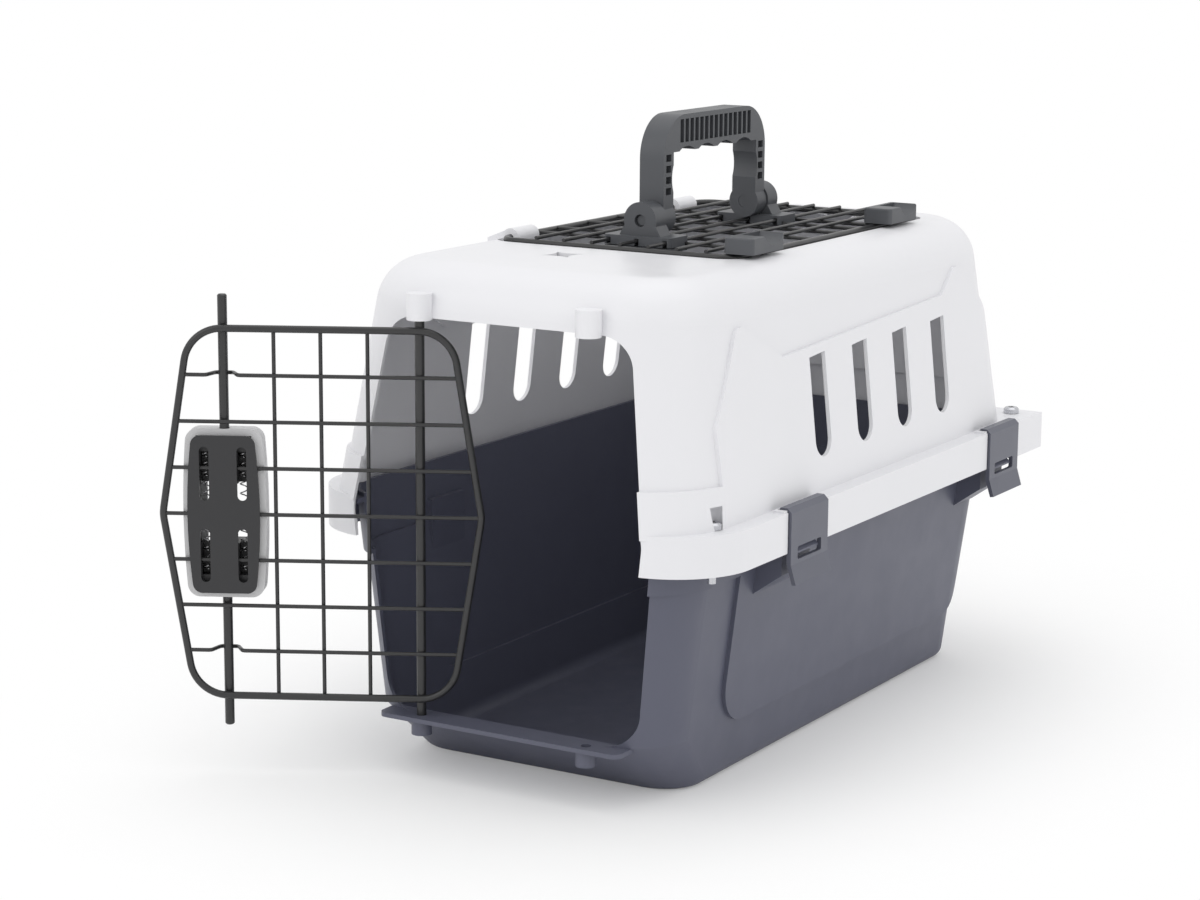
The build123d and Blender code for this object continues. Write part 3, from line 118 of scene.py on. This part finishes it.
def noise(tree, coordinate, size_mm, detail=2.0, roughness=0.5):
    """Noise whose features are about size_mm wide."""
    return add_node(
        tree, "ShaderNodeTexNoise", {"Vector": coordinate.outputs["Object"]},
        Scale=1.0 / (size_mm * MM), Detail=detail, Roughness=roughness,
    )


def spread(tree, source, low, high):
    """Source's middle range mapped on low to high."""
    return add_node(
        tree, "ShaderNodeMapRange", {"Value": source.outputs["Fac"]},
        From_Min=0.3, From_Max=0.7, To_Min=low, To_Max=high,
    )


def moulded_plastic(name, colour, gloss, grain_mm, grain_depth, drift=0.05, coat=0.0):
    """Injection-moulded polypropylene: even colour, with slow flow drift and the tool's fine grain."""
    material, tree, shader = new_material(name)
    coordinate = add_node(tree, "ShaderNodeTexCoord")
    flow = noise(tree, coordinate, 90.0, 1.0)
    base = linear(colour)
    dark = [c * (1.0 - drift) for c in base[:3]] + [1.0]
    light = [min(1.0, c * (1.0 + drift)) for c in base[:3]] + [1.0]
    tint = add_node(tree, "ShaderNodeMix", data_type="RGBA")
    tree.links.new(flow.outputs["Fac"], tint.inputs["Factor"])
    tint.inputs[6].default_value = dark
    tint.inputs[7].default_value = light
    tree.links.new(tint.outputs[2], shader.inputs["Base Color"])
    patch = noise(tree, coordinate, 22.0, 2.0)
    polish = spread(tree, patch, gloss - 0.035, gloss + 0.035)
    tree.links.new(polish.outputs["Result"], shader.inputs["Roughness"])
    grain = noise(tree, coordinate, grain_mm, 3.0, 0.6)
    bump = add_node(
        tree, "ShaderNodeBump", {"Height": grain.outputs["Fac"]},
        Strength=0.35, Distance=grain_depth * MM,
    )
    tree.links.new(bump.outputs["Normal"], shader.inputs["Normal"])
    shader.inputs["IOR"].default_value = 1.49
    shader.inputs["Coat Weight"].default_value = coat
    shader.inputs["Coat Roughness"].default_value = 0.12
    return material


def coated_wire(name, colour):
    """Drawn steel wire, dipped in powder coat that levels into a faint orange peel."""
    material, tree, shader = new_material(name)
    coordinate = add_node(tree, "ShaderNodeTexCoord")
    peel = noise(tree, coordinate, 1.6, 2.0)
    wear = noise(tree, coordinate, 14.0, 3.0)
    base = linear(colour)
    tint = add_node(tree, "ShaderNodeMix", data_type="RGBA")
    tree.links.new(wear.outputs["Fac"], tint.inputs["Factor"])
    tint.inputs[6].default_value = [c * 0.75 for c in base[:3]] + [1.0]
    tint.inputs[7].default_value = [c * 1.35 for c in base[:3]] + [1.0]
    tree.links.new(tint.outputs[2], shader.inputs["Base Color"])
    polish = spread(tree, wear, 0.3, 0.42)
    tree.links.new(polish.outputs["Result"], shader.inputs["Roughness"])
    bump = add_node(
        tree, "ShaderNodeBump", {"Height": peel.outputs["Fac"]}, Strength=0.3, Distance=0.08 * MM,
    )
    tree.links.new(bump.outputs["Normal"], shader.inputs["Normal"])
    shader.inputs["Coat Weight"].default_value = 0.25
    return material


def plated_steel(name, colour, rough):
    """Zinc-plated steel, turned or drawn, with fine streaks along it."""
    material, tree, shader = new_material(name)
    coordinate = add_node(tree, "ShaderNodeTexCoord")
    streak_map = add_node(tree, "ShaderNodeMapping", {"Vector": coordinate.outputs["Object"]})
    streak_map.inputs["Scale"].default_value = (1.0, 1.0, 0.08)
    streaks = add_node(
        tree, "ShaderNodeTexNoise", {"Vector": streak_map.outputs["Vector"]},
        Scale=1.0 / (0.8 * MM), Detail=2.0,
    )
    polish = spread(tree, streaks, rough - 0.06, rough + 0.08)
    tree.links.new(polish.outputs["Result"], shader.inputs["Roughness"])
    bump = add_node(
        tree, "ShaderNodeBump", {"Height": streaks.outputs["Fac"]}, Strength=0.2, Distance=0.03 * MM,
    )
    tree.links.new(bump.outputs["Normal"], shader.inputs["Normal"])
    shader.inputs["Base Color"].default_value = linear(colour)
    shader.inputs["Metallic"].default_value = 1.0
    return material


def dress(nodes, material, soften_mm=0.0):
    """Gives CAD nodes a material, smooth shading and softly broken edges."""
    for name in nodes:
        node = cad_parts[name]
        node.data.materials.clear()
        node.data.materials.append(material)
        for face in node.data.polygons:
            face.use_smooth = True
        if soften_mm:
            soft = node.modifiers.new("Broken edges", "BEVEL")
            soft.width = soften_mm * MM
            soft.segments = 2
            soft.limit_method = "ANGLE"
            soft.angle_limit = math.radians(BREAK_ANGLE)
            soft.harden_normals = False
        shade_by_angle(node, SHADE_ANGLE)


def shade_by_angle(thing, degrees):
    """Marks edges sharper than the angle, so curved faces shade smoothly between them."""
    limit = math.radians(degrees)
    mesh = thing.data
    work = bmesh.new()
    work.from_mesh(mesh)
    sharp = [len(edge.link_faces) != 2 or edge.calc_face_angle(0.0) > limit for edge in work.edges]
    work.free()
    for edge, is_sharp in zip(mesh.edges, sharp):
        edge.use_edge_sharp = is_sharp


def mesh_piece(name, work, material, body):
    """Turns a bmesh into a piece that rides on a CAD body."""
    bmesh.ops.recalc_face_normals(work, faces=work.faces)
    mesh = bpy.data.meshes.new(name)
    work.to_mesh(mesh)
    work.free()
    mesh.materials.append(material)
    piece = bpy.data.objects.new(name, mesh)
    bpy.context.scene.collection.objects.link(piece)
    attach(piece, body)
    return piece


class CarrierSurfaceSettings(bpy.types.PropertyGroup):
    shell_gloss: bpy.props.FloatProperty(
        name="Shell roughness", description="Roughness of the two moulded shells",
        default=0.36, min=0.05, max=1.0,
    )
    fitting_gloss: bpy.props.FloatProperty(
        name="Fitting roughness", description="Roughness of clips, catches and handle",
        default=0.42, min=0.05, max=1.0,
    )
    grain_depth: bpy.props.FloatProperty(
        name="Grain depth", description="Depth of the mould grain, in millimetres",
        default=0.05, min=0.0, max=1.0,
    )
    edge_soften: bpy.props.FloatProperty(
        name="Broken edge", description="Width of the softened edges, in millimetres",
        default=0.5, min=0.0, max=3.0,
    )


class CarrierStageSettings(bpy.types.PropertyGroup):
    lens: bpy.props.FloatProperty(
        name="Lens", description="Focal length of the camera, in millimetres",
        default=85.18, min=10.0, max=300.0,
    )
    azimuth: bpy.props.FloatProperty(
        name="Camera azimuth", description="Angle round the carrier from its front",
        default=math.radians(30.9), subtype="ANGLE",
    )
    elevation: bpy.props.FloatProperty(
        name="Camera elevation", description="Angle of the camera's axis above level",
        default=math.radians(11.28), subtype="ANGLE",
    )
    roll: bpy.props.FloatProperty(
        name="Camera roll", description="Turn of the picture about its middle",
        default=math.radians(0.4), subtype="ANGLE",
    )
    key_power: bpy.props.FloatProperty(
        name="Key light", description="Power of the softbox at the front",
        default=8.0, min=0.0, subtype="POWER",
    )
    top_power: bpy.props.FloatProperty(
        name="Top light", description="Power of the softbox overhead",
        default=12.0, min=0.0, subtype="POWER",
    )
    side_power: bpy.props.FloatProperty(
        name="Side light", description="Power of the softbox at the right",
        default=3.0, min=0.0, subtype="POWER",
    )
    sky: bpy.props.FloatProperty(
        name="Room light", description="Strength of the even light from the white room",
        default=0.88, min=0.0,
    )


class CARRIER_OT_dress_shells(bpy.types.Operator):
    """Mould finish on the white canopy and the blue-grey tub"""
    bl_idname = "carrier.dress_shells"
    bl_label = "Dress Shells"

    def execute(self, context):
        look = context.scene.carrier_surfaces
        # Polished tool: satin white, with broad soft highlights along the rounded edges
        canopy = moulded_plastic(
            "White polypropylene, moulded", "E5E5E8", look.shell_gloss, 1.1, look.grain_depth, 0.012,
        )
        # Grained tool: a flatter blue-grey that scatters the light off its walls
        tub = moulded_plastic(
            "Slate polypropylene, moulded", "585A69", look.shell_gloss + 0.06, 0.9, look.grain_depth * 1.4,
        )
        dress(["top_shell"], canopy)
        dress(["bottom_shell"], tub)
        return {"FINISHED"}


class CARRIER_OT_dress_clips(bpy.types.Operator):
    """Side clips and the bolts that hold the shells together"""
    bl_idname = "carrier.dress_clips"
    bl_label = "Dress Clips and Bolts"

    def execute(self, context):
        look = context.scene.carrier_surfaces
        # Dense springy plastic: close to the tub in colour, a little shinier
        clip = moulded_plastic(
            "Slate acetal, moulded", "585A66", look.fitting_gloss - 0.06, 0.8, look.grain_depth,
        )
        # Bright plated heads that pick up the room as small glints
        bolt = plated_steel("Zinc-plated steel, turned", "C6C7CB", 0.24)
        clips = [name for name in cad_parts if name.startswith("clip_")]
        dress(clips, clip, look.edge_soften)
        dress(["security_bolts", "security_nuts", "handle_clamp_screws"], bolt)
        return {"FINISHED"}


class CARRIER_OT_dress_doors(bpy.types.Operator):
    """Black coated wire on both doors and the latch rods"""
    bl_idname = "carrier.dress_doors"
    bl_label = "Dress Wire Doors"

    def execute(self, context):
        # Near black with a dull sheen that rolls round each wire
        wire = coated_wire("Black powder-coated wire", "232324")
        dress(["door_wire_frame", "top_door_wire_frame", "upper_latch_rod", "lower_latch_rod"], wire)
        return {"FINISHED"}


class CARRIER_OT_dress_latch(bpy.types.Operator):
    """Squeeze latch of the front door"""
    bl_idname = "carrier.dress_latch"
    bl_label = "Dress Front Latch"

    def execute(self, context):
        look = context.scene.carrier_surfaces
        # Pale rim round the dark plate
        housing = moulded_plastic(
            "Light grey ABS, moulded", "C9C9CA", look.fitting_gloss, 0.8, look.grain_depth,
        )
        # Almost black, just lighter than the wires that cross behind it
        plate = moulded_plastic(
            "Charcoal ABS, moulded", "2A2A2C", look.fitting_gloss, 0.7, look.grain_depth,
        )
        # Bare coils, bright where they show through the windows
        spring = plated_steel("Bright spring steel, drawn", "A6A6A8", 0.3)
        dress(["latch_housing"], housing, look.edge_soften)
        thin_edge = look.edge_soften * 0.6
        dress(["latch_back_plate", "upper_latch_pull", "lower_latch_pull"], plate, thin_edge)
        dress(["upper_latch_springs", "lower_latch_springs"], spring)
        return {"FINISHED"}


class CARRIER_OT_dress_handle(bpy.types.Operator):
    """Handle, its brackets and the roof catches"""
    bl_idname = "carrier.dress_handle"
    bl_label = "Dress Handle and Roof Catches"

    def execute(self, context):
        look = context.scene.carrier_surfaces
        # Neutral dark grey, matt enough for a hand
        grip = moulded_plastic(
            "Graphite polypropylene, moulded", "4E5054", look.fitting_gloss, 0.8, look.grain_depth,
        )
        dress(["handle_grip", "handle_brackets", "handle_clamps"], grip, look.edge_soften)
        dress(["top_latch_front", "top_latch_rear", "handle_pins"], grip, look.edge_soften)
        return {"FINISHED"}


class CARRIER_OT_add_bolt_recesses(bpy.types.Operator):
    """Dark crosses of painted shade on the four bolt heads, standing for their pressed cross recesses"""
    bl_idname = "carrier.add_bolt_recesses"
    bl_label = "Add Painted Recess Shade"

    def execute(self, context):
        # Painted shade: a dark matt cross that stands for the shade inside each pressed recess
        dark = moulded_plastic("Painted shade of drive recess", "3A3A3D", 0.5, 0.6, 0.02)
        low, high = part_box("security_bolts")
        reach = BOLT_HEAD_RADIUS * MM
        top = high[2] - RECESS_SINK * MM
        long, short, tall = RECESS_LENGTH * MM, RECESS_WIDTH * MM, RECESS_HEIGHT * MM
        work = bmesh.new()
        for x in (low[0] + reach, high[0] - reach):
            for y in (low[1] + reach, high[1] - reach):
                for length, width in ((long, short), (short, long)):
                    bar = Matrix.Diagonal((length, width, tall, 1.0))
                    bmesh.ops.create_cube(work, size=1.0, matrix=Matrix.Translation((x, y, top)) @ bar)
        # The crosses are painted shade for the bolt recesses, not steel
        mesh_piece("bolt_recess_painted_shade", work, dark, "carrier")
        return {"FINISHED"}


class CARRIER_OT_build_stage(bpy.types.Operator):
    """White studio floor, soft lights and the camera"""
    bl_idname = "carrier.build_stage"
    bl_label = "Build Studio"

    def execute(self, context):
        stage = context.scene.carrier_stage
        scene = context.scene
        self.build_floor()
        self.build_lights(stage)
        self.build_world(scene, stage)
        self.build_camera(scene, stage)
        scene.view_settings.view_transform = "Standard"
        return {"FINISHED"}

    def build_floor(self):
        """Pale flat floor that reaches far round the carrier."""
        # Matt fibre, so only the soft shadow under the carrier shows on it
        material, tree, shader = new_material("White seamless paper")
        coordinate = add_node(tree, "ShaderNodeTexCoord")
        fibre = noise(tree, coordinate, 40.0, 3.0)
        base = linear("FDFDFD")
        tint = add_node(tree, "ShaderNodeMix", data_type="RGBA")
        tree.links.new(fibre.outputs["Fac"], tint.inputs["Factor"])
        tint.inputs[6].default_value = [c * 0.985 for c in base[:3]] + [1.0]
        tint.inputs[7].default_value = base
        tree.links.new(tint.outputs[2], shader.inputs["Base Color"])
        shader.inputs["Roughness"].default_value = 0.85
        self.fade_to_white(tree, coordinate, shader)
        mesh = bpy.data.meshes.new("studio_floor")
        work = bmesh.new()
        bmesh.ops.create_grid(work, x_segments=8, y_segments=8, size=FLOOR_REACH)
        work.to_mesh(mesh)
        work.free()
        mesh.materials.append(material)
        floor = bpy.data.objects.new("studio_floor", mesh)
        floor.location.z = -FLOOR_DROP * MM
        bpy.context.scene.collection.objects.link(floor)

    def fade_to_white(self, tree, coordinate, shader):
        """Shaded paper round the carrier, and plain white further out where only the camera looks."""
        oval = add_node(tree, "ShaderNodeMapping", {"Vector": coordinate.outputs["Object"]})
        oval.inputs["Scale"].default_value = (1.0, OVAL_DEPTH, 1.0)
        reach = add_node(tree, "ShaderNodeVectorMath", operation="LENGTH")
        tree.links.new(oval.outputs["Vector"], reach.inputs[0])
        ring = add_node(
            tree, "ShaderNodeMapRange", {"Value": reach.outputs["Value"]},
            interpolation_type="SMOOTHSTEP",
            From_Min=FADE_START * MM, From_Max=FADE_END * MM, To_Min=FADE_LIFT, To_Max=1.0,
        )
        path = add_node(tree, "ShaderNodeLightPath")
        seen = add_node(tree, "ShaderNodeMath", operation="MULTIPLY")
        tree.links.new(ring.outputs["Result"], seen.inputs[0])
        tree.links.new(path.outputs["Is Camera Ray"], seen.inputs[1])
        white = add_node(tree, "ShaderNodeEmission", Color=(1.0, 1.0, 1.0, 1.0), Strength=1.0)
        blend = add_node(tree, "ShaderNodeMixShader", {"Fac": seen.outputs["Value"]})
        tree.links.new(shader.outputs["BSDF"], blend.inputs[1])
        tree.links.new(white.outputs["Emission"], blend.inputs[2])
        output = next(node for node in tree.nodes if node.type == "OUTPUT_MATERIAL")
        tree.links.new(blend.outputs["Shader"], output.inputs["Surface"])

    def build_lights(self, stage):
        """Three large softboxes round the carrier."""
        boxes = (
            ("key_softbox", stage.key_power, KEY_PLACE, KEY_SIDE),
            ("top_softbox", stage.top_power, TOP_PLACE, TOP_SIDE),
            ("side_softbox", stage.side_power, FILL_PLACE, FILL_SIDE),
        )
        target = Vector(LIGHT_TARGET)
        for name, power, place, size in boxes:
            data = bpy.data.lights.new(name, "AREA")
            data.energy = power
            data.size = size
            lamp = bpy.data.objects.new(name, data)
            lamp.location = place
            lamp.rotation_euler = (target - Vector(place)).to_track_quat("-Z", "Y").to_euler()
            bpy.context.scene.collection.objects.link(lamp)

    def build_world(self, scene, stage):
        """Even room light, with plain white where the camera sees past the floor."""
        world = bpy.data.worlds.new("White room")
        scene.world = world
        world.use_nodes = True
        tree = world.node_tree
        tree.nodes.clear()
        output = add_node(tree, "ShaderNodeOutputWorld")
        room = add_node(tree, "ShaderNodeBackground", Color=(1.0, 1.0, 1.0, 1.0), Strength=stage.sky)
        seen = add_node(tree, "ShaderNodeBackground", Color=(1.0, 1.0, 1.0, 1.0), Strength=1.0)
        path = add_node(tree, "ShaderNodeLightPath")
        choose = add_node(tree, "ShaderNodeMixShader", {"Fac": path.outputs["Is Camera Ray"]})
        tree.links.new(room.outputs["Background"], choose.inputs[1])
        tree.links.new(seen.outputs["Background"], choose.inputs[2])
        tree.links.new(choose.outputs["Shader"], output.inputs["Surface"])

    def build_camera(self, scene, stage):
        """Camera with the photograph's place and angle."""
        data = bpy.data.cameras.new("photo_camera")
        data.lens = stage.lens
        data.sensor_width = SENSOR_WIDTH
        camera = bpy.data.objects.new("photo_camera", data)
        a, e, r = stage.azimuth, stage.elevation, stage.roll
        back = Vector((math.sin(a) * math.cos(e), -math.cos(a) * math.cos(e), math.sin(e)))
        right = Vector((math.cos(a), math.sin(a), 0.0))
        up = back.cross(right)
        across = right * math.cos(r) + up * math.sin(r)
        upward = -right * math.sin(r) + up * math.cos(r)
        turn = Matrix((across, upward, back)).transposed().to_4x4()
        camera.matrix_world = Matrix.Translation(CAMERA_PLACE) @ turn
        scene.collection.objects.link(camera)
        scene.camera = camera


class CARRIER_PT_panel(bpy.types.Panel):
    bl_label = "Pet Carrier"
    bl_idname = "CARRIER_PT_panel"
    bl_space_type = "VIEW_3D"
    bl_region_type = "UI"
    bl_category = "Carrier"

    def draw(self, context):
        layout = self.layout
        look = context.scene.carrier_surfaces
        stage = context.scene.carrier_stage
        for name in ("shell_gloss", "fitting_gloss", "grain_depth", "edge_soften"):
            layout.prop(look, name)
        for name in ("lens", "azimuth", "elevation", "roll"):
            layout.prop(stage, name)
        for name in ("key_power", "top_power", "side_power", "sky"):
            layout.prop(stage, name)
        for step in STEPS:
            layout.operator(step.bl_idname)


STEPS = (
    CARRIER_OT_dress_shells,
    CARRIER_OT_dress_clips,
    CARRIER_OT_dress_doors,
    CARRIER_OT_dress_latch,
    CARRIER_OT_dress_handle,
    CARRIER_OT_add_bolt_recesses,
    CARRIER_OT_build_stage,
)
CLASSES = (CarrierSurfaceSettings, CarrierStageSettings) + STEPS + (CARRIER_PT_panel,)


def register():
    for item in CLASSES:
        bpy.utils.register_class(item)
    bpy.types.Scene.carrier_surfaces = bpy.props.PointerProperty(type=CarrierSurfaceSettings)
    bpy.types.Scene.carrier_stage = bpy.props.PointerProperty(type=CarrierStageSettings)


def unregister():
    del bpy.types.Scene.carrier_stage
    del bpy.types.Scene.carrier_surfaces
    for item in reversed(CLASSES):
        bpy.utils.unregister_class(item)


def main():
    """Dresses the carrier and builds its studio."""
    register()
    bpy.ops.carrier.dress_shells()
    bpy.ops.carrier.dress_clips()
    bpy.ops.carrier.dress_doors()
    bpy.ops.carrier.dress_latch()
    bpy.ops.carrier.dress_handle()
    bpy.ops.carrier.add_bolt_recesses()
    bpy.ops.carrier.build_stage()
    bpy.context.view_layer.update()


if __name__ == "__main__":
    main()
